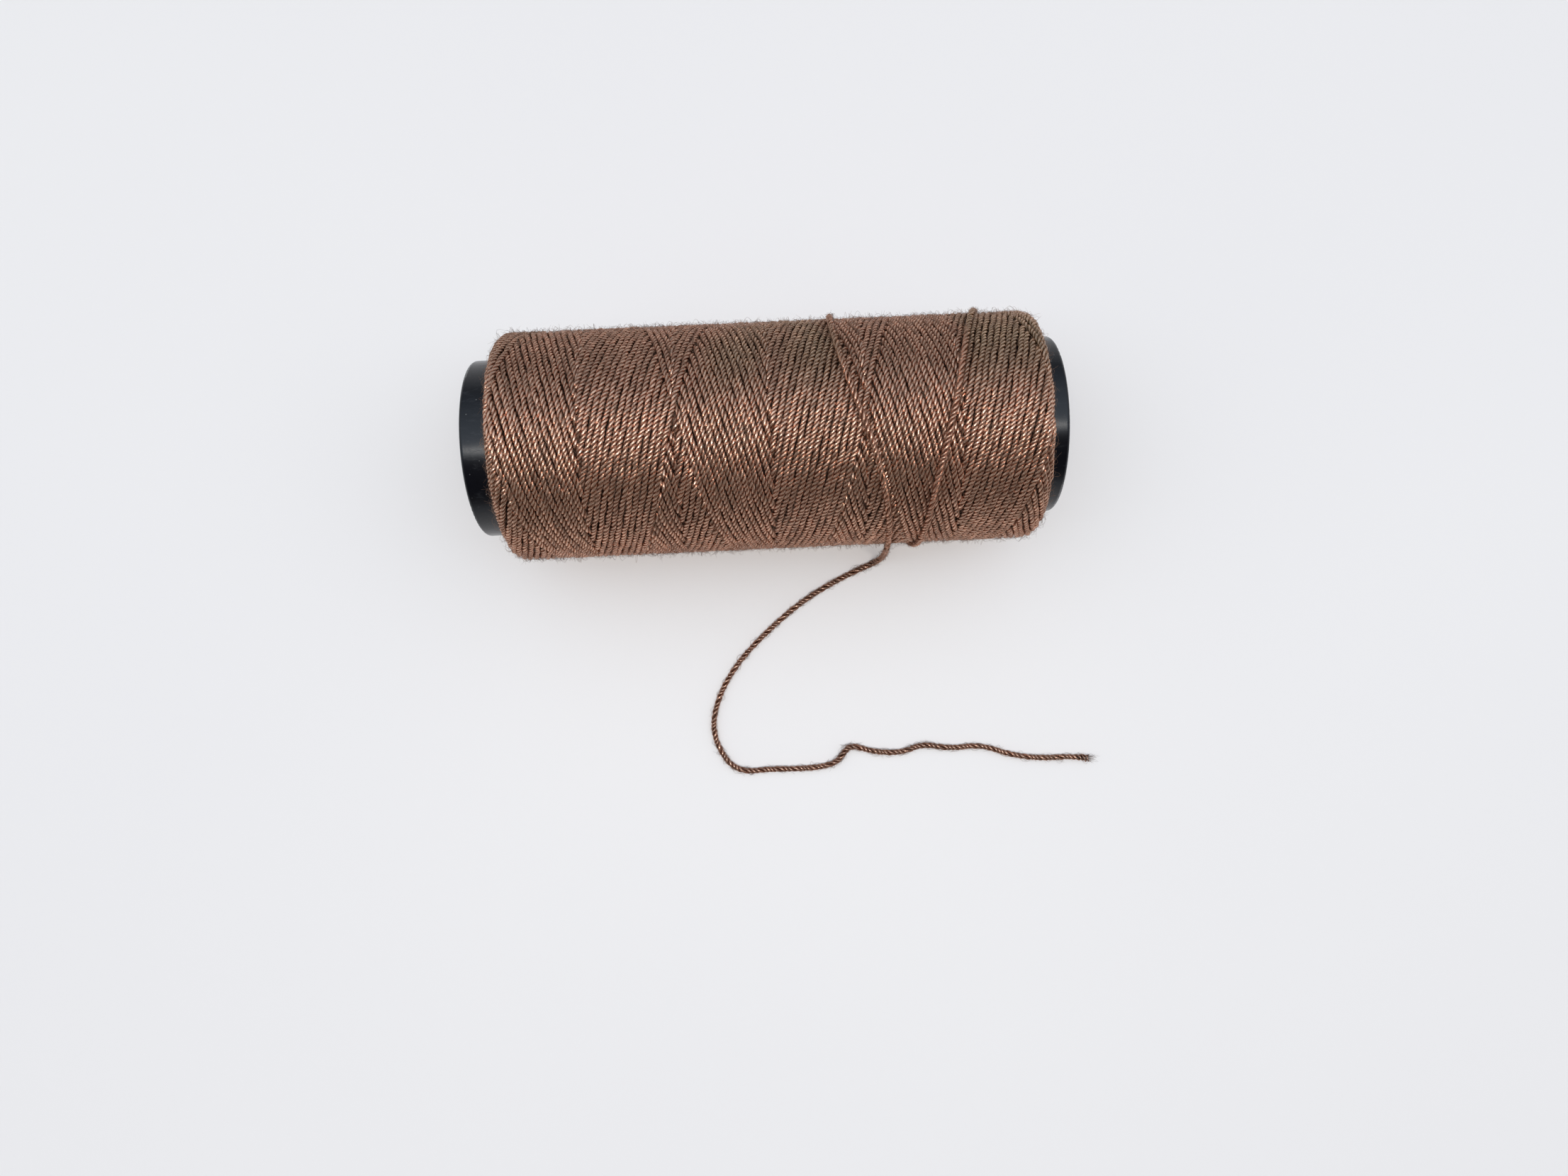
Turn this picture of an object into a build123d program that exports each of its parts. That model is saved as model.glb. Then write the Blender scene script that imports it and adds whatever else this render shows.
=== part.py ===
from build123d import *
import math
import os

os.makedirs("parts", exist_ok=True)

# A part-used spool of waxed hand-sewing thread, lying on its side.
# +X runs along the spool's axis, +Z is up, and z = 0 is the surface that it lies on.
# The origin is on that surface, under the middle of the tube. All sizes are millimetres.

# Tube that the thread is wound on
tube_length = 88.0
tube_outer_radius = 13.5
tube_wall = 2.0
tube_edge_round = 0.5

# Wound thread
package_length = 80.0
package_radius = 17.5
package_shift = 0.7  # the winding stops short of the -X end by more than of the +X end
shoulder_radius = 2.5
resting_flat = 0.2  # how deep the threads underneath are pressed flat

# Thread
thread_diameter = 1.0
groove_slack = 0.05  # room left round the last wrap where neighbouring threads press on it
wrap_gap = 0.05  # the last wrap lies this far off the package

# How much of the shorter run each side of a corner its arc takes up
arc_share = 0.45

thread_radius = thread_diameter / 2
tube_inner_radius = tube_outer_radius - tube_wall
axis_height = package_radius - resting_flat
package_start = package_shift - package_length / 2


def plane_across_axis(x):
    """A plane across the spool's axis, facing +X."""
    return Plane(origin=(x, 0, axis_height), x_dir=(0, 1, 0), z_dir=(1, 0, 0))


def plane_at_start(line):
    """The plane square to a line at its start."""
    return Plane(origin=line @ 0, z_dir=line % 0)


def corner_radii(points):
    """One arc radius for each inner point of a route, as large as its two runs allow."""
    corners = [Vector(*point) for point in points]
    radii = []
    for before, corner, after in zip(corners, corners[1:], corners[2:]):
        run_in = corner - before
        run_out = after - corner
        half_turn = math.radians(run_in.get_angle(run_out)) / 2
        shorter_run = min(run_in.length, run_out.length)
        radii.append(arc_share * shorter_run / math.tan(half_turn))
    return radii


# ---------------------------------------------------------------------------
# The last wrap: where it lies along the spool, every 20 degrees round the axis.
# 0 degrees is the +Y side, 90 is the top, 180 the -Y side and 270 underneath.
# It comes out of the package low at the +Y side, goes once and two thirds round
# and ends on the -Y side, where the free end drops away.
# ---------------------------------------------------------------------------
wrap_step = 20
wrap_first_angle = -60
wrap_x = [
    36.2, 35.4, 34.5, 33.4, 31.7, 30.1, 28.5, 27.1, 25.4, 23.8, 22.9, 22.4, 22.0, 21.3, 20.4,
    19.2, 17.9, 16.5, 15.1, 13.7, 12.3, 11.2, 10.6, 10.7, 11.5, 13.0, 15.0, 16.6, 17.6, 17.9,
]
wrap_reach = (package_radius + wrap_gap + thread_radius) / math.cos(math.radians(wrap_step / 2))
tucked_reach = package_radius - thread_radius
tail_exit = (18.2, -18.25, axis_height)


def wrap_point(x, angle, reach):
    """A point of the last wrap, kept up off the surface that the spool lies on."""
    y = reach * math.cos(math.radians(angle))
    z = axis_height + reach * math.sin(math.radians(angle))
    return (x, y, max(z, thread_radius))


wrap_points = [wrap_point(wrap_x[0], wrap_first_angle, tucked_reach)]
for step, x in enumerate(wrap_x[1:], start=1):
    wrap_points.append(wrap_point(x, wrap_first_angle + step * wrap_step, wrap_reach))
wrap_points.append(tail_exit)

# ---------------------------------------------------------------------------
# The free end: it drops from the -Y side of the package, turns along the
# surface and lies there in one loose S to its cut end.
# ---------------------------------------------------------------------------
tail_points = [
    tail_exit,
    (18.4, -18.9, 13.3),
    (18.6, -19.4, 9.0),
    (18.8, -19.8, 5.0),
    (18.4, -20.5, 2.1),
    (16.9, -21.3, 0.6),
    (14.3, -22.3, 0.5),
    (9.3, -24.6, 0.5),
    (4.2, -27.6, 0.5),
    (-1.3, -32.0, 0.5),
    (-6.6, -37.1, 0.5),
    (-10.2, -42.7, 0.5),
    (-11.8, -48.6, 0.5),
    (-9.9, -54.0, 0.5),
    (-6.9, -56.5, 0.5),
    (-1.8, -56.2, 0.5),
    (3.4, -56.4, 0.5),
    (7.6, -56.2, 0.5),
    (10.0, -55.4, 0.5),
    (12.8, -52.5, 0.5),
    (17.4, -53.9, 0.5),
    (21.6, -54.2, 0.5),
    (24.9, -52.6, 0.5),
    (29.6, -54.0, 0.5),
    (35.0, -53.6, 0.5),
    (40.6, -55.8, 0.5),
    (46.2, -56.6, 0.5),
    (50.4, -56.4, 0.5),
    (53.9, -56.9, 0.5),
]

# ---------------------------------------------------------------------------
# Moulded tube, open at both ends
# ---------------------------------------------------------------------------
with BuildPart() as core_tube:
    with BuildSketch(plane_across_axis(-tube_length / 2)):
        Circle(tube_outer_radius)
        Circle(tube_inner_radius, mode=Mode.SUBTRACT)
    extrude(amount=tube_length)
    fillet(core_tube.edges().filter_by(GeomType.CIRCLE), tube_edge_round)

# ---------------------------------------------------------------------------
# Last wrap, from where it leaves the package to where the free end begins
# ---------------------------------------------------------------------------
with BuildPart() as loose_wrap:
    with BuildLine() as wrap_line:
        FilletPolyline(*wrap_points, radius=corner_radii(wrap_points))
    with BuildSketch(plane_at_start(wrap_line.line)):
        Circle(thread_radius)
    sweep(path=wrap_line.line)

# ---------------------------------------------------------------------------
# Wound thread: rounded shoulders, pressed flat underneath, with the groove
# that the last wrap lies in where the spool's weight pushes it home
# ---------------------------------------------------------------------------
with BuildPart() as wound_thread:
    with BuildSketch(plane_across_axis(package_start)):
        Circle(package_radius)
        Circle(tube_outer_radius, mode=Mode.SUBTRACT)
    extrude(amount=package_length)
    shoulders = wound_thread.edges().filter_by(GeomType.CIRCLE).group_by(SortBy.RADIUS)[-1]
    fillet(shoulders, shoulder_radius)
    split(bisect_by=Plane.XY, keep=Keep.TOP)
    with BuildSketch(plane_at_start(wrap_line.line)):
        Circle(thread_radius + groove_slack)
    sweep(path=wrap_line.line, mode=Mode.SUBTRACT)

# ---------------------------------------------------------------------------
# Free end of the thread
# ---------------------------------------------------------------------------
with BuildPart() as thread_tail:
    with BuildLine() as tail_line:
        FilletPolyline(*tail_points, radius=corner_radii(tail_points))
    with BuildSketch(plane_at_start(tail_line.line)):
        Circle(thread_radius)
    sweep(path=tail_line.line)

# ---------------------------------------------------------------------------
# Checks on the two threads, and the files
# ---------------------------------------------------------------------------
for name, route, line, tube in (
    ("loose_wrap", wrap_points, wrap_line.line, loose_wrap.part),
    ("thread_tail", tail_points, tail_line.line, thread_tail.part),
):
    length = sum(edge.length for edge in line.edges())
    section = math.pi * thread_radius**2
    print(name, "radii", [round(radius, 2) for radius in corner_radii(route)])
    print(name, "length", round(length, 1))
    print(name, "volume", round(tube.volume, 2), "section times length", round(section * length, 2))
    print(name, "lowest point", round(tube.bounding_box().min.Z, 3))

core_tube.part.label = "core_tube"
wound_thread.part.label = "wound_thread"
loose_wrap.part.label = "loose_wrap"
thread_tail.part.label = "thread_tail"

export_step(core_tube.part, "parts/core_tube.step")
export_step(wound_thread.part, "parts/wound_thread.step")
export_step(loose_wrap.part, "parts/loose_wrap.step")
export_step(thread_tail.part, "parts/thread_tail.step")
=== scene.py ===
"""Looks of a waxed thread spool lying on its side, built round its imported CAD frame.

Everything is in metres in the CAD frame: +X along the spool, +Z up, z = 0 is the surface
that it lies on. Angles round the spool start at the +Y side: 90 degrees is the top and
180 the -Y side.
"""

import math

import bpy
import numpy as np
from mathutils import Matrix, Vector


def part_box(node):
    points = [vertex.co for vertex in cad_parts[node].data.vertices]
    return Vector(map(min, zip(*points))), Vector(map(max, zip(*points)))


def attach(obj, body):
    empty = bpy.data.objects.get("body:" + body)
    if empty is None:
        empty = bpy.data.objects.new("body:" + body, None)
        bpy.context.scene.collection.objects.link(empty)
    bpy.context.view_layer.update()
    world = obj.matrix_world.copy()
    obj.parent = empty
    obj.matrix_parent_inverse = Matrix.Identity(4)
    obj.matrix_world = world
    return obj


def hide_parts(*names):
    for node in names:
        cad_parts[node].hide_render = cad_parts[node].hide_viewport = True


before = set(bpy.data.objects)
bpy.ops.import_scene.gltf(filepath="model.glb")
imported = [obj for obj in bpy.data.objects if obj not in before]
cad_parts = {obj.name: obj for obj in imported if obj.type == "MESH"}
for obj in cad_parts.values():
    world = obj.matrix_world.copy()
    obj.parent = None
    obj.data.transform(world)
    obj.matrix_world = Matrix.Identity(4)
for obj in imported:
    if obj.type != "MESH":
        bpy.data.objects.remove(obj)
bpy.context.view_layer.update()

mm = 0.001
tube_low, tube_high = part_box("core_tube")
package_low, package_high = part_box("wound_thread")
AXIS_Z = (tube_low.z + tube_high.z) / 2
TUBE_RADIUS = (tube_high.z - tube_low.z) / 2
PACKAGE_RADIUS = package_high.z - AXIS_Z
END_BULGE = 0.5 * mm  # the turn-backs stand out past the flat ends
PACKAGE_START = package_low.x - END_BULGE
PACKAGE_END = package_high.x + END_BULGE
SHOULDER_RADIUS = 1.9 * mm

# Thread
THREAD_WIDTH = 1.0 * mm  # where it lies free
PACKED_WIDTH = 0.91 * mm  # where its neighbours press on it
LAY = 2.2 * mm  # one full turn of the twist
FREE_LAY = 2.5 * mm  # where it lies free, the twist opens a little
RINGS_PER_LAY = 8
RING_STEP = LAY / RINGS_PER_LAY

# Winding: one thread crosses the package and comes back, over and over
PASSES = 30  # there and back
TURNS = 3  # round the spool on each crossing
SEAM_ANGLE = 82.0  # where the first pass starts
CORNER_REACH = 0.5 * mm  # how softly the thread turns back at the ends
APEX_ANGLE = 14.0  # how far up the rounded shoulder it turns back
LAYER_DROP = 0.75 * mm  # a crossing thread is this much lower than the one on top
DIVE_LENGTH = 1.9 * mm  # thread length that it takes to go under
HIDDEN_LENGTH = 0.8 * mm  # how far it is kept on underneath
TRIANGLES_PER_PIECE = 170_000

# How unevenly it is wound
TURN_BACK_SHIFT = 0.18 * mm  # of each turn-back, along the package
SHIFT_REACH = 6 * mm  # how far from the turn-back that is felt
SIDE_WANDER = 0.14 * mm
DEPTH_WANDER = 0.10 * mm
TWIST_WANDER = 0.7  # radians
WIDTH_WANDER = 0.12  # of the width
TINT_SPREAD = 0.6  # between crossings, and again between stretches of one

RANDOM_SEED = 20


# ---------------------------------------------------------------------------
# Camera
# ---------------------------------------------------------------------------
CAMERA_PLACE = Vector((0.00018, -0.01515, 0.1836))
CAMERA_AIM = Vector((0.00193, -0.02465, 0.0))
CAMERA_ROLL = math.radians(2.58)
CAMERA_LENS = 24.27


def make_camera():
    """The camera stands almost straight above the spool, +Y towards the top of the picture."""
    camera = bpy.data.objects.new("camera", bpy.data.cameras.new("camera"))
    bpy.context.scene.collection.objects.link(camera)
    forward = (CAMERA_AIM - CAMERA_PLACE).normalized()
    picture_up = Vector((math.sin(CAMERA_ROLL), math.cos(CAMERA_ROLL), 0))
    right = forward.cross(picture_up).normalized()
    up = right.cross(forward)
    turned = Matrix((right, up, -forward)).transposed().to_4x4()
    camera.matrix_world = Matrix.Translation(CAMERA_PLACE) @ turned
    camera.data.lens = CAMERA_LENS
    camera.data.sensor_width = 36
    camera.data.clip_start = 0.01
    camera.data.clip_end = 20
    bpy.context.scene.camera = camera


# ---------------------------------------------------------------------------
# Mesh making
# ---------------------------------------------------------------------------
class Skin:
    """Collects closed tubes and sheets, and makes them one mesh."""

    def __init__(self):
        self.points = []
        self.faces = []
        self.uvs = []
        self.crests = []
        self.tints = []
        self.alongs = []
        self.count = 0
        self.triangles = 0

    def add(self, points, faces, uvs, crest, tint, along):
        """points (n, 3); faces a list of index arrays; uvs one (u, v) per face corner.

        along is the thread's direction at each point.
        """
        self.points.append(points)
        self.faces += [face_group + self.count for face_group in faces]
        self.uvs += uvs
        self.crests.append(crest)
        self.tints.append(np.full(len(points), tint))
        self.alongs.append(along)
        self.count += len(points)
        self.triangles += sum(len(group) * (group.shape[1] - 2) for group in faces)

    def build(self, name, material):
        """Makes the mesh, with what the thread's material reads from it, and its object."""
        mesh = bpy.data.meshes.new(name)
        points = np.concatenate(self.points)
        mesh.vertices.add(len(points))
        mesh.vertices.foreach_set("co", points.astype(np.float32).ravel())
        corners = np.concatenate([group.ravel() for group in self.faces])
        sizes = np.concatenate([np.full(len(group), group.shape[1]) for group in self.faces])
        starts = np.concatenate([[0], np.cumsum(sizes)[:-1]])
        mesh.loops.add(len(corners))
        mesh.loops.foreach_set("vertex_index", corners.astype(np.int32))
        mesh.polygons.add(len(sizes))
        mesh.polygons.foreach_set("loop_start", starts.astype(np.int32))
        mesh.polygons.foreach_set("use_smooth", np.ones(len(sizes), bool))
        mesh.update(calc_edges=True)
        layer = mesh.uv_layers.new(name="fibre")
        layer.data.foreach_set("uv", np.concatenate(self.uvs).astype(np.float32).ravel())
        for attribute, values in (("crest", self.crests), ("tint", self.tints)):
            made = mesh.attributes.new(attribute, "FLOAT", "POINT")
            made.data.foreach_set("value", np.concatenate(values).astype(np.float32))
        made = mesh.attributes.new("along", "FLOAT_VECTOR", "POINT")
        made.data.foreach_set("vector", np.concatenate(self.alongs).astype(np.float32).ravel())
        mesh.validate()
        mesh.materials.append(material)
        piece = bpy.data.objects.new(name, mesh)
        bpy.context.scene.collection.objects.link(piece)
        return piece


def unit(vectors):
    """The same directions, one long."""
    return vectors / np.linalg.norm(vectors, axis=-1, keepdims=True)


def tube(skin, centres, outward, profile, crest, phases, widths, tint):
    """A closed tube along centres, with a section turned by phases and scaled by widths.

    outward is a direction square enough to the line to measure the section's angles from.
    """
    tangents = unit(np.gradient(centres, axis=0))
    sideways = unit(np.cross(tangents, outward))
    normals = np.cross(sideways, tangents)
    around = len(profile)
    angles = phases[:, None] + np.arange(around) * 2 * math.pi / around
    reach = profile * widths[:, None]
    points = (
        centres[:, None]
        + (reach * np.cos(angles))[..., None] * normals[:, None]
        + (reach * np.sin(angles))[..., None] * sideways[:, None]
    )
    rings = len(centres)
    ring = np.arange(rings - 1)[:, None] * around
    here = np.arange(around)[None]
    after = (here + 1) % around
    quads = np.stack([ring + here, ring + after, ring + around + after, ring + around + here], -1)
    quads = quads.reshape(-1, 4)[:, ::-1]
    first_cap = np.arange(around)[None]
    last_cap = (np.arange(around)[::-1] + (rings - 1) * around)[None]
    lengths = np.concatenate([[0], np.cumsum(np.linalg.norm(np.diff(centres, axis=0), axis=1))]) / mm
    start = np.broadcast_to(lengths[:-1, None], (rings - 1, around))
    end = np.broadcast_to(lengths[1:, None], (rings - 1, around))
    left = np.broadcast_to(here / around, (rings - 1, around))
    right = np.broadcast_to((here + 1) / around, (rings - 1, around))
    corner_uvs = np.stack(
        [np.stack([left, end], -1), np.stack([right, end], -1),
         np.stack([right, start], -1), np.stack([left, start], -1)], 2,
    ).reshape(-1, 2)
    cap_uvs = np.zeros((2 * around, 2))
    skin.add(
        points.reshape(-1, 3), [quads, first_cap, last_cap], [corner_uvs, cap_uvs],
        np.tile(crest, rings), tint, np.repeat(tangents, around, axis=0),
    )


def three_lobes(points_per_lobe, ply_depth, ply_width, valley):
    """The outline of three plies twisted together: radii from 1 on a crest to valley.

    ply_depth and ply_width are half a ply's height and width, cut square across the thread.
    """
    angles = np.arange(3 * points_per_lobe) * 2 * math.pi / (3 * points_per_lobe)
    from_crest = (angles + math.pi / 3) % (2 * math.pi / 3) - math.pi / 3
    offset = 1 - ply_depth
    a = (np.cos(from_crest) / ply_depth) ** 2 + (np.sin(from_crest) / ply_width) ** 2
    b = offset * np.cos(from_crest) / ply_depth**2
    c = (offset / ply_depth) ** 2 - 1
    radii = (b + np.sqrt(np.clip(b * b - a * c, 0, None))) / a
    return np.maximum(radii, valley), np.clip((radii - valley) / (1 - valley), 0, 1)


# Of half the thread's width: half a ply's height, half its width and the radius between plies
PLY_DEPTH = 0.46
PLY_WIDTH = 0.575
LOBE_VALLEY = 0.52
POINTS_PER_LOBE = 6
# LOBE_CRESTS sets the painted shade between plies and the painted highlight along their tops
LOBES, LOBE_CRESTS = three_lobes(POINTS_PER_LOBE, PLY_DEPTH, PLY_WIDTH, LOBE_VALLEY)


def wander(random, distances, size, lengths=(3 * mm, 7 * mm, 17 * mm)):
    """A smooth random drift along a thread."""
    drift = np.zeros_like(distances)
    for length in lengths:
        drift += np.sin(distances * 2 * math.pi / length + random.uniform(0, 2 * math.pi))
    return drift * size / len(lengths)


# ---------------------------------------------------------------------------
# The wound package
# ---------------------------------------------------------------------------
THREAD_SINK = PACKED_WIDTH / 2
CORNER_RADIUS = SHOULDER_RADIUS - THREAD_SINK  # of the line that thread centres follow
APEX_RUN = math.radians(90 - APEX_ANGLE) * CORNER_RADIUS
STRAIGHT = PACKAGE_END - PACKAGE_START - 2 * SHOULDER_RADIUS
RUN = STRAIGHT + 2 * APEX_RUN  # from one turn-back to the other, over the shoulders
TURN_ADVANCE = (RUN + 2 * CORNER_REACH) / TURNS
DRIFT = 1 / (2 * TURNS * PASSES)  # each pass starts one thread further round
TURN_LENGTH = math.hypot(2 * math.pi * (PACKAGE_RADIUS - THREAD_SINK), TURN_ADVANCE)


def package_line(run, depth=0.0):
    """(x, radius, normal x, normal radius) at a distance from the left turn-back, depth below."""
    mirrored = run > RUN / 2
    near = np.where(mirrored, RUN - run, run)
    angle = np.clip(math.radians(APEX_ANGLE) + near / CORNER_RADIUS, 0, math.pi / 2)
    beyond = np.maximum(near - APEX_RUN, 0)
    face = np.minimum(near + math.radians(APEX_ANGLE) * CORNER_RADIUS, 0)
    normal_x = -np.cos(angle)
    normal_r = np.sin(angle)
    x = SHOULDER_RADIUS + normal_x * (CORNER_RADIUS - depth) + beyond
    radius = PACKAGE_RADIUS - SHOULDER_RADIUS + normal_r * (CORNER_RADIUS - depth) + face
    x = np.where(mirrored, PACKAGE_END - x, PACKAGE_START + x)
    return x, radius, np.where(mirrored, -normal_x, normal_x), normal_r


def around_axis(x, radius, angle):
    """Points at these radii and angles (radians) round the spool's axis."""
    return np.stack([x, radius * np.cos(angle), AXIS_Z + radius * np.sin(angle)], -1)


def thread_run(turns, apex_shifts):
    """How far along the package the thread is after so many turns."""
    crossing = np.floor(turns / TURNS).astype(int)
    since = turns - crossing * TURNS
    nearest = np.where(since > TURNS / 2, crossing + 1, crossing)
    away = np.abs(turns - nearest * TURNS) * TURN_ADVANCE
    run = np.sqrt(away**2 + CORNER_REACH**2) - CORNER_REACH
    run += apex_shifts[nearest % len(apex_shifts)] * np.exp(-((away / SHIFT_REACH) ** 2))
    return np.where(nearest % 2 == 1, RUN - run, run)


def stretches_on_top():
    """(first, last) in turns of the whole thread, for each stretch that no later one covers.

    The two directions cross every half turn, and a later pass lies over the earlier ones. So
    the last pass shows nearly all the way, and the first one only at the crossings.
    """
    stretch = 1 + DRIFT
    cells = 2 * TURNS
    found = []
    for k in range(PASSES):
        start = cells * k
        for cell in range(1, cells):
            rise = (cell - (k - 0.5) / PASSES) / 2 / stretch
            sink = (cell + 0.5 / PASSES) / 2 / stretch
            found.append((start + rise, start + sink))
        rise = (cells - (k - 0.5) / PASSES) / 2 / stretch
        sink = (cells + 0.5 / PASSES) / 2 / stretch
        found.append((start + rise, start + cells - sink))
        for cell in range(cells - 1, 0, -1):
            sink = (cell + 0.5 / PASSES) / 2 / stretch
            rise = (cell + (k + 1.5) / PASSES) / 2 / stretch
            found.append((start + cells - rise, start + cells - sink))
        rise = (k + 1.5) / PASSES / 2 / stretch
        sink = 0.5 / PASSES / 2 / stretch
        found.append((start + cells - rise, start + cells + sink))
    return merged(found)


def merged(stretches):
    """Stretches that meet become one."""
    joined = []
    for first, last in sorted(stretches):
        if joined and first <= joined[-1][1] + 0.001:
            joined[-1][1] = max(joined[-1][1], last)
        else:
            joined.append([first, last])
    return joined


def smooth_step(values):
    """0 to 1, easing in and out."""
    held = np.clip(values, 0, 1)
    return held * held * (3 - 2 * held)


def wind_package(random, material):
    """The top layer, thread by thread, as several meshes."""
    apex_shifts = random.uniform(-TURN_BACK_SHIFT, TURN_BACK_SHIFT, 2 * PASSES)
    pass_tints = random.normal(0, 1, PASSES + 1)
    half_dive = DIVE_LENGTH / 2 / TURN_LENGTH
    margin = (DIVE_LENGTH / 2 + HIDDEN_LENGTH) / TURN_LENGTH
    skins = [Skin()]
    for first, last in stretches_on_top():
        if skins[-1].triangles > TRIANGLES_PER_PIECE:
            skins.append(Skin())
        steps = max(int((last - first + 2 * margin) * TURN_LENGTH / RING_STEP), 6)
        turns = np.linspace(first - margin, last + margin, steps)
        turns = np.clip(turns, 0, None)
        distances = turns * TURN_LENGTH
        height = smooth_step((turns - first) / (2 * half_dive) + 0.5)
        height *= smooth_step((last - turns) / (2 * half_dive) + 0.5)
        run = thread_run(turns, apex_shifts) + wander(random, distances, SIDE_WANDER)
        depth = (1 - height) * LAYER_DROP + wander(random, distances, DEPTH_WANDER)
        x, radius, normal_x, normal_r = package_line(run, depth)
        angle = math.radians(SEAM_ANGLE) + 2 * math.pi * turns * (1 + DRIFT)
        centres = around_axis(x, radius, angle)
        normals = np.stack([normal_x, normal_r * np.cos(angle), normal_r * np.sin(angle)], -1)
        phases = distances * 2 * math.pi / LAY + random.uniform(0, 2 * math.pi)
        phases += wander(random, distances, TWIST_WANDER)
        widths = PACKED_WIDTH / 2 * (1 + wander(random, distances, WIDTH_WANDER))
        tint = pass_tints[int(first / (2 * TURNS))] * TINT_SPREAD + random.normal(0, TINT_SPREAD)
        tube(skins[-1], centres, normals, LOBES, LOBE_CRESTS, phases, widths, tint)
    made = []
    for number, skin in enumerate(skins, start=1):
        for points in skin.points:
            points[:, 2] = np.maximum(points[:, 2], 0)
        made.append(skin.build(f"winding_{number:02d}", material))
    return made


# ---------------------------------------------------------------------------
# Under the top layer, and the ends
# ---------------------------------------------------------------------------
CORE_DEPTH = 0.5 * mm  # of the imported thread's surface below the top layer's centres
CORE_COLUMNS = 360
CORE_ROWS = 260
FACE_RUN = -math.radians(APEX_ANGLE) * CORNER_RADIUS - (PACKAGE_RADIUS - SHOULDER_RADIUS - TUBE_RADIUS)


def build_core(material):
    """The closed ring of packed thread under the top layer, from the tube outwards."""
    around = CORE_COLUMNS
    runs = np.linspace(FACE_RUN, RUN - FACE_RUN, CORE_ROWS)
    x, radius, _, _ = package_line(runs, CORE_DEPTH)
    x = np.append(x, [x[-1], x[0]])
    radius = np.append(np.maximum(radius, TUBE_RADIUS), [TUBE_RADIUS, TUBE_RADIUS])
    angle = np.arange(around) * 2 * math.pi / around
    points = around_axis(
        np.repeat(x[:, None], around, 1), np.repeat(radius[:, None], around, 1), angle[None]
    )
    points[..., 2] = np.maximum(points[..., 2], CORE_DEPTH)
    rows = len(x)
    row = (np.arange(rows)[:, None] * around).astype(int)
    below = ((np.arange(rows)[:, None] + 1) % rows * around).astype(int)
    here = np.arange(around)[None]
    after = (here + 1) % around
    quads = np.stack([row + here, row + after, below + after, below + here], -1).reshape(-1, 4)
    uvs = np.stack([quads % around, quads // around], -1).reshape(-1, 2)
    skin = Skin()
    skin.add(
        points.reshape(-1, 3), [quads], [uvs], np.zeros(rows * around), 0.0,
        np.zeros((rows * around, 3)),
    )
    return skin.build("winding_core", material)


END_ROWS = 4  # of older turns that show on each end
ARCS_PER_ROW = 9
ARC_OVERLAP = 1.6  # each arc runs on under the next one
ARC_DIVE = 1.0 * mm
ARC_RINGS = 60
ARC_START_WANDER = 0.2  # of an arc's length
ARC_SLOPE = 0.25 * mm  # one end of an arc is this much further in than its middle
ARC_BOW = 0.2 * mm
FIRST_ROW = 0.55  # thread widths in from the turn-backs
ROW_CLOSENESS = 0.88
ROW_WANDER = 0.12 * mm


def wind_end_faces(random, material):
    """Older turns show on both ends as arcs that come out of the package and dive back in."""
    skin = Skin()
    for side in (0, 1):
        for row in range(END_ROWS):
            for arc in range(ARCS_PER_ROW):
                moved = random.uniform(-ARC_START_WANDER, ARC_START_WANDER)
                first = (arc + 0.5 * (row % 2) + moved) / ARCS_PER_ROW
                turned = first + np.linspace(0, ARC_OVERLAP / ARCS_PER_ROW, ARC_RINGS)
                angle = 2 * math.pi * turned
                share = np.linspace(-1, 1, ARC_RINGS)
                run = -(row + FIRST_ROW) * PACKED_WIDTH * ROW_CLOSENESS
                run = run + random.uniform(-ROW_WANDER, ROW_WANDER)
                run = run + ARC_SLOPE * share * random.choice([-1, 1]) + ARC_BOW * share**2
                run = np.maximum(run, FACE_RUN + PACKED_WIDTH / 2)
                depth = ARC_DIVE * np.abs(share) ** 3 + random.uniform(0, ROW_WANDER)
                run = RUN - run if side else run
                x, radius, normal_x, normal_r = package_line(run, depth)
                centres = around_axis(x, radius, angle)
                normals = np.stack([normal_x, normal_r * np.cos(angle), normal_r * np.sin(angle)], -1)
                distances = radius * (angle - angle[0])
                phases = distances * 2 * math.pi / LAY + random.uniform(0, 2 * math.pi)
                widths = np.full(ARC_RINGS, PACKED_WIDTH / 2)
                tint = random.normal(0, 1)
                tube(skin, centres, normals, LOBES, LOBE_CRESTS, phases, widths, tint)
    for points in skin.points:
        points[:, 2] = np.maximum(points[:, 2], 0)
    return skin.build("winding_ends", material)


# ---------------------------------------------------------------------------
# The last wrap and the free end
# ---------------------------------------------------------------------------
WRAP_STEP = 20
WRAP_FIRST_ANGLE = -60
WRAP_X = [
    36.2, 35.4, 34.5, 33.4, 31.7, 30.1, 28.5, 27.1, 25.5, 24.0, 23.3, 22.9, 22.5, 21.8, 20.8,
    19.4, 17.9, 16.4, 14.9, 13.4, 11.9, 10.8, 10.2, 10.3, 11.2, 12.9, 15.0, 16.6, 17.6, 17.9,
]
WRAP_GAP = -0.25 * mm  # it has settled a little into the threads under it
WRAP_REACH = (PACKAGE_RADIUS + WRAP_GAP + THREAD_WIDTH / 2) / math.cos(math.radians(WRAP_STEP / 2))
TUCKED_REACH = PACKAGE_RADIUS - THREAD_WIDTH / 2
TAIL_EXIT = (0.0182, -0.01825, 0.0173)  # where the free end leaves the package
ROUTE_STEPS = 16  # from one control point to the next
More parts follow.
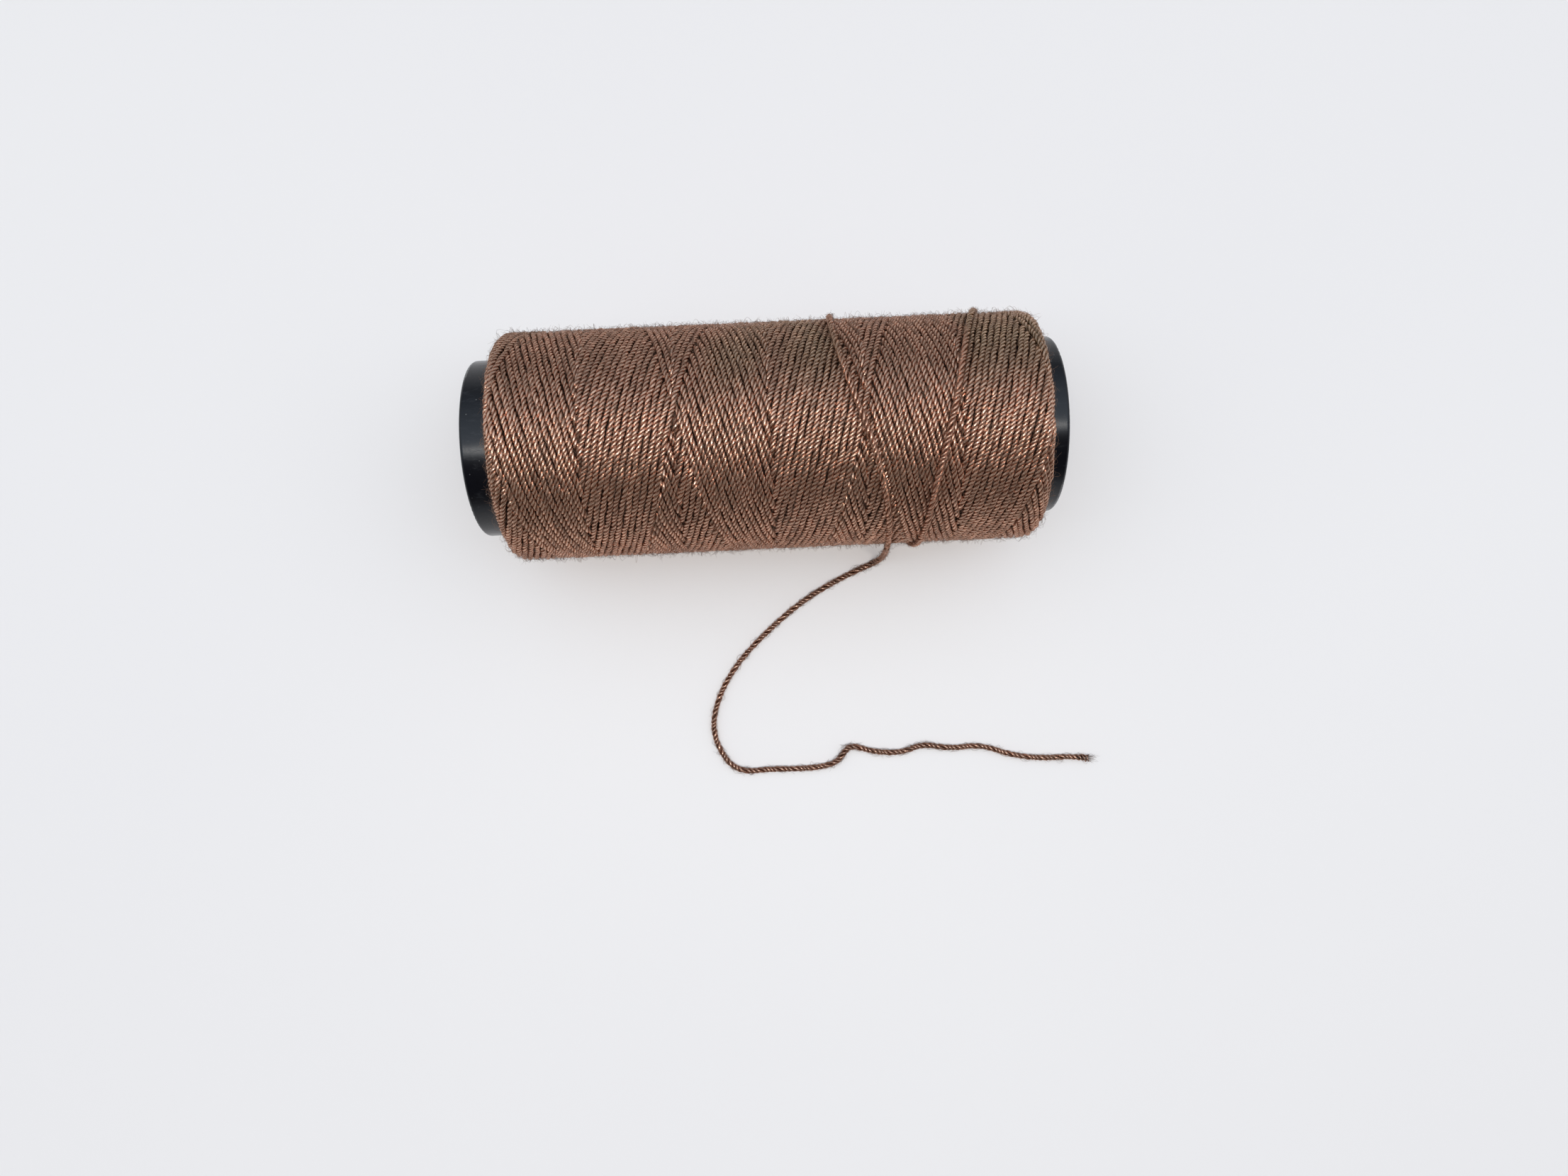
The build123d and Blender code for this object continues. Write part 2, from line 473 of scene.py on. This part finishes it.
TAIL_POINTS = [
    TAIL_EXIT,
    (0.0184, -0.0189, 0.0133),
    (0.0186, -0.0194, 0.0090),
    (0.0188, -0.0198, 0.0050),
    (0.0184, -0.0205, 0.0021),
    (0.0169, -0.0213, 0.0006),
    (0.0143, -0.0223, 0.0005),
    (0.0093, -0.0246, 0.0005),
    (0.0042, -0.0276, 0.0005),
    (-0.0013, -0.0320, 0.0005),
    (-0.0066, -0.0371, 0.0005),
    (-0.0102, -0.0427, 0.0005),
    (-0.0118, -0.0486, 0.0005),
    (-0.0099, -0.0540, 0.0005),
    (-0.0069, -0.0565, 0.0005),
    (-0.0018, -0.0562, 0.0005),
    (0.0034, -0.0564, 0.0005),
    (0.0076, -0.0562, 0.0005),
    (0.0100, -0.0554, 0.0005),
    (0.0114, -0.0535, 0.0005),
    (0.0126, -0.0527, 0.0005),
    (0.0166, -0.0541, 0.0005),
    (0.0214, -0.0544, 0.0005),
    (0.0249, -0.0530, 0.0005),
    (0.0297, -0.0541, 0.0005),
    (0.0350, -0.0536, 0.0005),
    (0.0406, -0.0558, 0.0005),
    (0.0462, -0.0566, 0.0005),
    (0.0504, -0.0564, 0.0005),
    (0.0539, -0.0569, 0.0005),
]


def wrap_points():
    """The last wrap's route, from where it leaves the package to where the free end begins."""
    points = []
    for step, x in enumerate(WRAP_X):
        angle = math.radians(WRAP_FIRST_ANGLE + step * WRAP_STEP)
        reach = WRAP_REACH if step else TUCKED_REACH
        height = AXIS_Z + reach * math.sin(angle)
        points.append((x * mm, reach * math.cos(angle), max(height, THREAD_WIDTH / 2)))
    return [*points, TAIL_EXIT]


def smooth_line(name, points):
    """Points along the NURBS spline that has these control points."""
    curve = bpy.data.curves.new(name, "CURVE")
    curve.dimensions = "3D"
    curve.resolution_u = ROUTE_STEPS
    spline = curve.splines.new("NURBS")
    spline.points.add(len(points) - 1)
    for control, point in zip(spline.points, points):
        control.co = (*point, 1)
    spline.order_u = 3
    spline.use_endpoint_u = True
    guide = bpy.data.objects.new(name, curve)
    line = bpy.data.meshes.new_from_object(guide)
    found = np.array([vertex.co for vertex in line.vertices])
    bpy.data.objects.remove(guide)
    bpy.data.meshes.remove(line)
    return found


def carried_normals(centres, first):
    """Directions square to a line that turn no more than the line makes them."""
    tangents = unit(np.gradient(centres, axis=0))
    normal = np.array(first, float)
    normals = []
    for tangent in tangents:
        normal = normal - tangent * (normal @ tangent)
        normal /= np.linalg.norm(normal)
        normals.append(normal)
    return np.array(normals)


PLY_SIDES = 10
PLY_ANGLES = np.arange(PLY_SIDES) * 2 * math.pi / PLY_SIDES
PLY_CRESTS = np.clip(0.45 + 0.5 * np.cos(PLY_ANGLES), 0, 1)  # sets painted highlight on the outside of each ply and painted shade between the plies
PLY_RADIUS = 0.235 * mm
PLY_OFFSET = THREAD_WIDTH / 2 - PLY_RADIUS
WRAP_TINT = -0.5
TAIL_TINT = -3.6  # the free end's colour is made darker
PLY_TINT_SPREAD = 0.5
PLY_TURN_WANDER = 0.22  # turns
PLY_OFFSET_WANDER = 0.08
PLY_RADIUS_WANDER = 0.10
FRAY_LENGTH = 2.6 * mm
FRAY_SPREAD = 0.35 * mm
FRAY_THINNING = 0.55  # of a ply's radius, at the cut end


def three_plies(skin, random, centres, outward, first_turn, tint, frayed):
    """Three plies twisted round each other. A frayed end opens out and its plies thin."""
    distances = np.concatenate([[0], np.cumsum(np.linalg.norm(np.diff(centres, axis=0), axis=1))])
    tangents = unit(np.gradient(centres, axis=0))
    sideways = unit(np.cross(tangents, outward))
    normals = np.cross(sideways, tangents)
    to_end = distances[-1] - distances
    opening = smooth_step(1 - to_end / FRAY_LENGTH) if frayed else np.zeros_like(distances)
    turns = distances / FREE_LAY + first_turn + wander(random, distances, PLY_TURN_WANDER)
    for ply in range(3):
        turn = 2 * math.pi * (turns + ply / 3)
        offset = PLY_OFFSET * (1 + wander(random, distances, PLY_OFFSET_WANDER))
        offset = offset + opening * FRAY_SPREAD
        middle = centres + (offset * np.cos(turn))[:, None] * normals
        middle = middle + (offset * np.sin(turn))[:, None] * sideways
        radius = PLY_RADIUS * (1 + wander(random, distances, PLY_RADIUS_WANDER))
        radius = radius * (1 - FRAY_THINNING * opening)
        middle[:, 2] = np.maximum(middle[:, 2], radius)
        away = np.cos(turn)[:, None] * normals + np.sin(turn)[:, None] * sideways
        tube(
            skin, middle, away, np.ones(PLY_SIDES), PLY_CRESTS, np.zeros_like(turn), radius,
            tint + random.normal(0, PLY_TINT_SPREAD),
        )
    return distances[-1] / FREE_LAY + first_turn


def build_wrap_and_tail(random, material):
    """The two pieces, each with the line that its thread follows."""
    wrap_line = smooth_line("wrap_route", wrap_points())
    outward = wrap_line - np.array([0, 0, AXIS_Z])
    outward[:, 0] = 0
    wrap_skin = Skin()
    turn = three_plies(wrap_skin, random, wrap_line, unit(outward), 0.0, WRAP_TINT, False)
    wrap = wrap_skin.build("last_wrap", material)
    tail_line = smooth_line("tail_route", TAIL_POINTS)
    tail_skin = Skin()
    normals = carried_normals(tail_line, (0, -1, 0))
    three_plies(tail_skin, random, tail_line, normals, turn, TAIL_TINT, True)
    tail = tail_skin.build("free_end", material)
    return wrap, wrap_line, tail, tail_line


# ---------------------------------------------------------------------------
# Loose fibres
# ---------------------------------------------------------------------------
FIBRE_RADIUS = 0.021 * mm
PACKAGE_FIBRES = 18_000
LINE_FIBRES = 1400
END_FIBRES = 40
FIBRE_RINGS = 5
FIBRE_CURL = 0.22  # of its length
FIBRE_THINNING = 0.6  # of its radius, at its tip
FIBRE_BEND = 1.4
PACKAGE_FIBRE_LENGTHS = (0.8 * mm, 2.4 * mm)
LINE_FIBRE_LENGTHS = (0.6 * mm, 1.8 * mm)
END_FIBRE_LENGTHS = (0.8 * mm, 2.0 * mm)
LEAST_LIFT = 0.1 * mm
PACKAGE_LIFT = 0.36 * mm
PACKAGE_MOST_LIFT = 1.4 * mm
LINE_LIFT = 0.25 * mm
LINE_MOST_LIFT = 0.8 * mm
END_MOST_LIFT = 0.6 * mm
FIBRE_LEAN = 0.5  # radians off the way round the package
PACKAGE_ANGLES = (-60, 240)  # where the package has hairs: not where it rests
PACKAGE_ROOT_DEPTH = -0.3 * mm  # above the centres of the top threads
LINE_ROOT = 0.4  # of the thread's width, from its centre
END_ROOT = 0.25 * mm
END_ROOT_LENGTH = 1.2 * mm  # of the cut end, where its hairs start
PACKAGE_LOOPED = 0.45  # share of the hairs that come back to the thread
LINE_LOOPED = 0.4


def fibre(skin, random, root, along, outward, length, lift, looped):
    """One fine hair that leaves a thread along it, lifts off and ends free or comes back."""
    share = np.linspace(0, 1, FIBRE_RINGS)
    side = np.cross(along, outward)
    rise = lift * 4 * share * (1 - share) if looped else lift * share**FIBRE_BEND
    curl = random.normal(0, FIBRE_CURL) * length * share**2
    points = root + np.outer(share * length, along) + np.outer(rise, outward) + np.outer(curl, side)
    points[:, 2] = np.maximum(points[:, 2], FIBRE_RADIUS)
    widths = FIBRE_RADIUS * (1 - FIBRE_THINNING * share)
    reference = unit(side + 0.3 * outward)
    tube(
        skin, points, reference[None], np.ones(3), np.ones(3), np.zeros(FIBRE_RINGS), widths,
        random.normal(0, 1),
    )


def build_package_fibres(random, material):
    """Hairs all over the package, as several meshes."""
    skins = [Skin()]
    for _ in range(PACKAGE_FIBRES):
        if skins[-1].triangles > TRIANGLES_PER_PIECE:
            skins.append(Skin())
        run = random.uniform(FACE_RUN * 0.6, RUN - FACE_RUN * 0.6)
        angle = math.radians(random.uniform(*PACKAGE_ANGLES))
        place = package_line(np.array(run), PACKAGE_ROOT_DEPTH)
        x, radius, normal_x, normal_r = (float(value) for value in place)
        outward = np.array([normal_x, normal_r * math.cos(angle), normal_r * math.sin(angle)])
        round_axis = np.array([0, -math.sin(angle), math.cos(angle)]) * random.choice([-1, 1])
        lean = random.normal(0, FIBRE_LEAN)
        along = round_axis * math.cos(lean) + np.cross(outward, round_axis) * math.sin(lean)
        length = random.uniform(*PACKAGE_FIBRE_LENGTHS)
        lift = min(abs(random.normal(0, PACKAGE_LIFT)) + LEAST_LIFT, PACKAGE_MOST_LIFT)
        root = around_axis(x, radius, angle)
        looped = random.uniform() < PACKAGE_LOOPED
        fibre(skins[-1], random, root, along, outward, length, lift, looped)
    return [
        skin.build(f"winding_fibres_{number}", material) for number, skin in enumerate(skins, start=1)
    ]


def square_to(tangent, random):
    """A random direction square to a line."""
    return unit(np.cross(tangent, unit(random.normal(0, 1, 3))))


def build_line_fibres(name, random, material, line, ends):
    """Hairs along a free thread, and those that stick out of its cut end."""
    skin = Skin()
    tangents = unit(np.gradient(line, axis=0))
    for _ in range(LINE_FIBRES):
        at = random.integers(0, len(line))
        outward = square_to(tangents[at], random)
        along = tangents[at] * random.choice([-1, 1])
        root = line[at] + outward * THREAD_WIDTH * LINE_ROOT
        length = random.uniform(*LINE_FIBRE_LENGTHS)
        lift = min(abs(random.normal(0, LINE_LIFT)) + LEAST_LIFT, LINE_MOST_LIFT)
        looped = random.uniform() < LINE_LOOPED
        fibre(skin, random, root, along, outward, length, lift, looped)
    for _ in range(ends):
        outward = square_to(tangents[-1], random)
        root = line[-1] - tangents[-1] * random.uniform(0, END_ROOT_LENGTH) + outward * END_ROOT
        length = random.uniform(*END_FIBRE_LENGTHS)
        lift = random.uniform(0, END_MOST_LIFT)
        fibre(skin, random, root, tangents[-1], outward, length, lift, False)
    return skin.build(name, material)


# ---------------------------------------------------------------------------
# Materials
# ---------------------------------------------------------------------------
class Nodes:
    """Short ways to add shader nodes and join them."""

    def __init__(self, name):
        self.material = bpy.data.materials.new(name)
        self.material.use_nodes = True
        self.tree = self.material.node_tree
        self.shader = self.tree.nodes["Principled BSDF"]

    def join(self, value, socket):
        if isinstance(value, bpy.types.NodeSocket):
            self.tree.links.new(value, socket)
        else:
            socket.default_value = value

    def set(self, **values):
        """Sets or joins the surface shader's own sockets, with _ for a space in their names."""
        for name, value in values.items():
            self.join(value, self.shader.inputs[name.replace("_", " ")])

    def node(self, kind, output=0, settings=(), **inputs):
        made = self.tree.nodes.new(kind)
        for name, value in dict(settings).items():
            setattr(made, name, value)
        for name, value in inputs.items():
            key = int(name[1:]) if name[0] == "i" and name[1:].isdigit() else name.replace("_", " ")
            self.join(value, made.inputs[key])
        return made.outputs[output]

    def math(self, operation, first, second=0.0):
        return self.node("ShaderNodeMath", settings={"operation": operation}, i0=first, i1=second)

    def noise(self, vector, scale, detail=2.0, roughness=0.5):
        return self.node(
            "ShaderNodeTexNoise", Vector=vector, Scale=scale, Detail=detail, Roughness=roughness
        )

    def spread(self, value, low, high, to_low=0.0, to_high=1.0):
        """value from low..high onto to_low..to_high, held at the ends."""
        return self.node(
            "ShaderNodeMapRange", Value=value, From_Min=low, From_Max=high,
            To_Min=to_low, To_Max=to_high,
        )

    def mix(self, factor, first, second, blend="MIX"):
        made = self.tree.nodes.new("ShaderNodeMix")
        made.data_type = "RGBA"
        made.blend_type = blend
        self.join(factor, made.inputs["Factor"])
        self.join(first, made.inputs[6])
        self.join(second, made.inputs[7])
        return made.outputs[2]

    def attribute(self, name, output="Fac"):
        made = self.tree.nodes.new("ShaderNodeAttribute")
        made.attribute_name = name
        return made.outputs[output]

    def vector(self, operation, *inputs, output="Vector"):
        made = self.tree.nodes.new("ShaderNodeVectorMath")
        made.operation = operation
        for value, socket in zip(inputs, made.inputs):
            self.join(value, socket)
        return made.outputs[output]

    def scaled(self, vector, factor):
        return self.node(
            "ShaderNodeVectorMath", settings={"operation": "SCALE"}, i0=vector, Scale=factor
        )

    def place(self):
        return self.node("ShaderNodeTexCoord", output="Object")

    def stretched(self, vector, scale):
        return self.node("ShaderNodeMapping", Vector=vector, Scale=scale)

    def bump(self, height, strength, distance, normal=None):
        made = self.tree.nodes.new("ShaderNodeBump")
        made.inputs["Strength"].default_value = strength
        made.inputs["Distance"].default_value = distance
        self.join(height, made.inputs["Height"])
        if normal is not None:
            self.join(normal, made.inputs["Normal"])
        return made.outputs[0]


CREST_COLOUR = (0.385, 0.118, 0.056, 1)
CREST_HIGHLIGHT_COLOUR = (0.76, 0.57, 0.43, 1)  # painted highlight along the very top of each ply
WORN_COLOUR = (0.74, 0.48, 0.32, 1)  # of single streaks
# painted shade: the colour down between the plies
VALLEY_SHADE_COLOUR = (0.022, 0.006, 0.003, 1)
OLIVE_COLOUR = (0.22, 0.125, 0.045, 1)  # of soiled patches, most of them on the +Y side
PLUS_Y_SHADE_TINT = 0.72  # painted shade: the thread's colour on the +Y side is this much of that on the -Y side
# painted shade: the packed thread under the top layer is coloured nearly black
PACKED_SHADE_COLOURS = (0.012, 0.004, 0.0025, 1), (0.06, 0.027, 0.017, 1)
FIBRE_COLOURS = (0.14, 0.067, 0.041, 1), (0.30, 0.18, 0.12, 1)
BLACK_COLOURS = (0.0010, 0.0011, 0.0032, 1), (0.0018, 0.0020, 0.0045, 1)
SCUFF_COLOUR = (0.035, 0.036, 0.042, 1)
DUST_COLOUR = (0.30, 0.29, 0.28, 1)
FLOOR_COLOURS = (0.895, 0.835, 0.80, 1), (0.91, 0.85, 0.81, 1)
# The fibres of a ply run nearly along the thread, so it shines as if it sloped less along it
FIBRE_SMOOTHING = 0.65
RIDGE_HEIGHT = 0.02 * mm
SCUFF_DEPTH = 0.02 * mm
DENT_DEPTH = 0.1 * mm  # of the slow waves that moulding leaves
PACKED_RELIEF = 0.2 * mm


def thread_material():
    """Brown waxed thread with painted shade between its plies, a painted highlight along the top of
    each ply and painted shade on the +Y side, streaked along its fibres, with a wax gloss.
    """
    n = Nodes("waxed_thread")
    place = n.place()
    uv = n.node("ShaderNodeUVMap", settings={"uv_map": "fibre"})
    streaks = n.noise(n.stretched(uv, (26, 1.1, 1)), 1.0, 3.0, 0.6)
    ridges = n.noise(n.stretched(uv, (22, 0.9, 1)), 1.0, 1.0, 0.4)
    patches = n.noise(n.stretched(place, (1.0, 0.5, 0.5)), 55.0, 2.0)
    side = n.node("ShaderNodeSeparateXYZ", output="Y", Vector=place)
    soiled = n.spread(side, 4 * mm, 12 * mm, 0.12, 1.0)
    olive = n.math("MULTIPLY", n.spread(patches, 0.46, 0.58), soiled)
    specks = n.noise(place, 1500.0, 2.0)
    crest = n.attribute("crest")
    shade = n.mix(olive, CREST_COLOUR, OLIVE_COLOUR)
    shade = n.mix(n.spread(streaks, 0.45, 0.8), shade, WORN_COLOUR)
    # painted highlight along the tops of the plies
    shade = n.mix(n.spread(crest, 0.8, 1.0, 0.0, 0.6), shade, CREST_HIGHLIGHT_COLOUR)
    # painted shade between the plies
    shade = n.mix(n.spread(crest, 0.0, 0.9), VALLEY_SHADE_COLOUR, shade)
    tint = n.spread(n.attribute("tint"), -5.0, 5.0, 0.5, 1.5)
    tint = n.math("MULTIPLY", tint, n.spread(specks, 0.3, 0.7, 0.75, 1.25))
    # painted shade: darker towards the +Y side
    tint = n.math("MULTIPLY", tint, n.spread(side, 3 * mm, 15 * mm, 1.0, PLUS_Y_SHADE_TINT))
    shade = n.scaled(shade, tint)
    gloss = n.spread(streaks, 0.3, 0.7, 0.12, 0.26)
    gloss = n.math("ADD", gloss, n.spread(specks, 0.35, 0.65, 0.12, 0.0))
    along = n.attribute("along", "Vector")
    surface = n.node("ShaderNodeNewGeometry", output="Normal")
    leaning = n.vector("DOT_PRODUCT", surface, along, output="Value")
    leaning = n.math("MULTIPLY", leaning, FIBRE_SMOOTHING)
    facing = n.vector("NORMALIZE", n.vector("SUBTRACT", surface, n.scaled(along, leaning)))
    grain = n.bump(ridges, 1.0, RIDGE_HEIGHT, facing)
    n.set(
        Base_Color=shade, Roughness=gloss, Normal=grain,
        Metallic=0.8, Specular_IOR_Level=0.5, Specular_Tint=(1.0, 0.62, 0.45, 1),
        Coat_Weight=n.spread(crest, 0.3, 0.9, 0.0, 0.5), Coat_IOR=1.6, Coat_Roughness=0.1,
        Coat_Normal=grain,
    )
    return n.material


def core_material():
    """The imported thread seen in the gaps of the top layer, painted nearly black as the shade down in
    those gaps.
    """
    n = Nodes("packed_thread_shade")
    rough = n.noise(n.stretched(n.place(), (1.0, 0.35, 0.35)), 1400.0, 3.0)
    shade = n.mix(n.spread(rough, 0.3, 0.7), *PACKED_SHADE_COLOURS)
    n.set(
        Base_Color=shade, Roughness=n.spread(rough, 0.2, 0.8, 0.5, 0.75),
        Specular_IOR_Level=0.1, Normal=n.bump(rough, 1.0, PACKED_RELIEF),
    )
    return n.material


def fibre_material():
    """Fine brown hairs, some of them paler."""
    n = Nodes("loose_fibres")
    patches = n.noise(n.place(), 220.0, 2.0)
    shade = n.mix(n.spread(patches, 0.35, 0.65), *FIBRE_COLOURS)
    tint = n.spread(n.attribute("tint"), -2.0, 2.0, 0.75, 1.25)
    shade = n.scaled(shade, tint)
    n.set(Base_Color=shade, Roughness=n.spread(patches, 0.3, 0.7, 0.4, 0.6), Specular_IOR_Level=0.2)
    return n.material


def tube_material():
    """Glossy black moulded plastic with fine handling scuffs, a little dust and lint."""
    n = Nodes("gloss_black_plastic")
    place = n.place()
    flow = n.noise(n.stretched(place, (1.0, 0.25, 0.25)), 260.0, 3.0)
    scuffs = n.noise(n.stretched(place, (0.3, 1.0, 1.0)), 1300.0, 4.0, 0.65)
    scuffed = n.spread(scuffs, 0.55, 0.78)
    dust = n.node("ShaderNodeTexVoronoi", output="Distance", Vector=place, Scale=900.0)
    dusty = n.spread(dust, 0.05, 0.12, 1.0, 0.0)
    dusty = n.math("MULTIPLY", dusty, n.spread(n.noise(place, 420.0), 0.56, 0.66))
    shade = n.mix(n.spread(flow, 0.3, 0.7), *BLACK_COLOURS)
    shade = n.mix(n.math("MULTIPLY", scuffed, 0.4), shade, SCUFF_COLOUR)
    shade = n.mix(n.math("MULTIPLY", dusty, 0.8), shade, DUST_COLOUR)
    gloss = n.math("ADD", n.spread(flow, 0.3, 0.7, 0.18, 0.25), n.math("MULTIPLY", scuffed, 0.2))
    n.set(
        Base_Color=shade, Roughness=gloss, Specular_IOR_Level=0.4,
        Normal=n.bump(flow, 0.12, DENT_DEPTH, n.bump(scuffs, 0.15, SCUFF_DEPTH)),
    )
    return n.material


def floor_material():
    """Pale warm grey with a little gloss."""
    n = Nodes("pale_floor")
    cloud = n.noise(n.place(), 6.0, 2.0)
    shade = n.mix(n.spread(cloud, 0.3, 0.7), *FLOOR_COLOURS)
    n.set(Base_Color=shade, Roughness=n.spread(cloud, 0.3, 0.7, 0.38, 0.42), Specular_IOR_Level=0.3)
    return n.material


# ---------------------------------------------------------------------------
# Floor and light
# ---------------------------------------------------------------------------
FLOOR_HALF = 12.0
FLOOR_GAP = 0.02 * mm  # under the spool, so that no faces meet
# How bright and how blue the room is at each angle from the +Y horizon (0) over the top (90)
# to the -Y one
ROOM_LIGHT = [
    (0, 0.80, 0.6), (5, 0.70, 0.6), (12, 0.36, 0.6), (28, 0.62, 1.0), (50, 1.10, 1.0),
    (70, 1.45, 1.0), (84, 1.60, 1.0), (100, 1.65, 1.0), (108, 0.16, 0.2), (155, 0.12, 0.1),
    (168, 0.25, 0.1), (175, 0.65, 0.5), (180, 0.80, 0.6),
]
ROOM_STRENGTH = 0.81
ROOM_ENDS = (0.84, 0.6)  # towards +X and -X
ENDS_FROM = 0.6  # how far a direction leans towards X where the ends begin to show
ENDS_FULL = 0.95
WARM_COLOUR = Vector((1.04, 1.0, 0.95))
BLUE_COLOUR = Vector((0.86, 1.0, 1.16))
STRIP_ANGLE = 96.0
STRIP_DISTANCE = 1.1
STRIP_LENGTH = 0.62  # along the spool
STRIP_WIDTH = 0.08
STRIP_POWER = 4.2
STRIP_COLOUR = (1.0, 0.96, 0.91)


def room_colour(level, blueness):
    """This bright, from warm (0) to blue (1)."""
    return level * WARM_COLOUR.lerp(BLUE_COLOUR, blueness)


def make_floor(material):
    """One wide sheet."""
    mesh = bpy.data.meshes.new("floor")
    far = FLOOR_HALF
    mesh.from_pydata(
        [(-far, -far, 0), (far, -far, 0), (far, far, 0), (-far, far, 0)], [], [(0, 1, 2, 3)]
    )
    floor = bpy.data.objects.new("floor", mesh)
    floor.location.z = -FLOOR_GAP
    bpy.context.scene.collection.objects.link(floor)
    mesh.materials.append(material)


def make_room():
    """A pale room, brightest overhead and darker high up on the -Y side."""
    world = bpy.data.worlds.new("room")
    bpy.context.scene.world = world
    world.use_nodes = True
    nodes = world.node_tree.nodes
    links = world.node_tree.links
    direction = nodes.new("ShaderNodeSeparateXYZ")
    links.new(nodes.new("ShaderNodeTexCoord").outputs["Generated"], direction.inputs[0])
    angle = nodes.new("ShaderNodeMath")
    angle.operation = "ARCTAN2"
    links.new(direction.outputs["Z"], angle.inputs[0])
    links.new(direction.outputs["Y"], angle.inputs[1])
    share = nodes.new("ShaderNodeMath")
    share.operation = "DIVIDE"
    share.inputs[1].default_value = math.pi
    links.new(angle.outputs[0], share.inputs[0])
    ramp = nodes.new("ShaderNodeValToRGB")
    ramp.color_ramp.interpolation = "EASE"
    stops = ramp.color_ramp.elements
    for _ in ROOM_LIGHT[2:]:
        stops.new(0.5)
    for stop, (at, level, blueness) in zip(stops, ROOM_LIGHT):
        stop.position = at / 180
        stop.color = (*room_colour(level, blueness), 1)
    links.new(share.outputs[0], ramp.inputs[0])
    sideways = nodes.new("ShaderNodeMath")
    sideways.operation = "ABSOLUTE"
    links.new(direction.outputs["X"], sideways.inputs[0])
    ends = nodes.new("ShaderNodeMapRange")
    ends.inputs["From Min"].default_value = ENDS_FROM
    ends.inputs["From Max"].default_value = ENDS_FULL
    links.new(sideways.outputs[0], ends.inputs["Value"])
    mixed = nodes.new("ShaderNodeMix")
    mixed.data_type = "RGBA"
    links.new(ends.outputs[0], mixed.inputs["Factor"])
    links.new(ramp.outputs[0], mixed.inputs[6])
    mixed.inputs[7].default_value = (*room_colour(*ROOM_ENDS), 1)
    links.new(mixed.outputs[2], nodes["Background"].inputs["Color"])
    nodes["Background"].inputs["Strength"].default_value = ROOM_STRENGTH


def make_strip_light():
    """A long lamp overhead, along the spool."""
    light = bpy.data.lights.new("strip_light", "AREA")
    light.shape = "RECTANGLE"
    light.size = STRIP_LENGTH
    light.size_y = STRIP_WIDTH
    light.energy = STRIP_POWER
    light.color = STRIP_COLOUR
    lamp = bpy.data.objects.new("strip_light", light)
    angle = math.radians(STRIP_ANGLE)
    aim = Vector((0, 0, AXIS_Z))
    lamp.location = aim + STRIP_DISTANCE * Vector((0, math.cos(angle), math.sin(angle)))
    lamp.rotation_euler = (aim - lamp.location).to_track_quat("-Z", "Y").to_euler()
    bpy.context.scene.collection.objects.link(lamp)


# ---------------------------------------------------------------------------
# Build
# ---------------------------------------------------------------------------
make_camera()
random = np.random.default_rng(RANDOM_SEED)
thread = thread_material()
last_wrap, wrap_line, free_end, tail_line = build_wrap_and_tail(random, thread)
windings = wind_package(random, thread)
windings.append(wind_end_faces(random, thread))
windings.append(build_core(core_material()))
lint = fibre_material()
windings += build_package_fibres(random, lint)
wrap_fibres = build_line_fibres("wrap_fibres", random, lint, wrap_line, 0)
tail_fibres = build_line_fibres("tail_fibres", random, lint, tail_line, END_FIBRES)

for node, pieces in (
    ("wound_thread", windings),
    ("loose_wrap", [last_wrap, wrap_fibres]),
    ("thread_tail", [free_end, tail_fibres]),
):
    for piece in pieces:
        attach(piece, "root")
        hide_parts(node)
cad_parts["core_tube"].data.materials[0] = tube_material()

make_floor(floor_material())
make_room()
make_strip_light()
bpy.context.scene.view_settings.view_transform = "Standard"
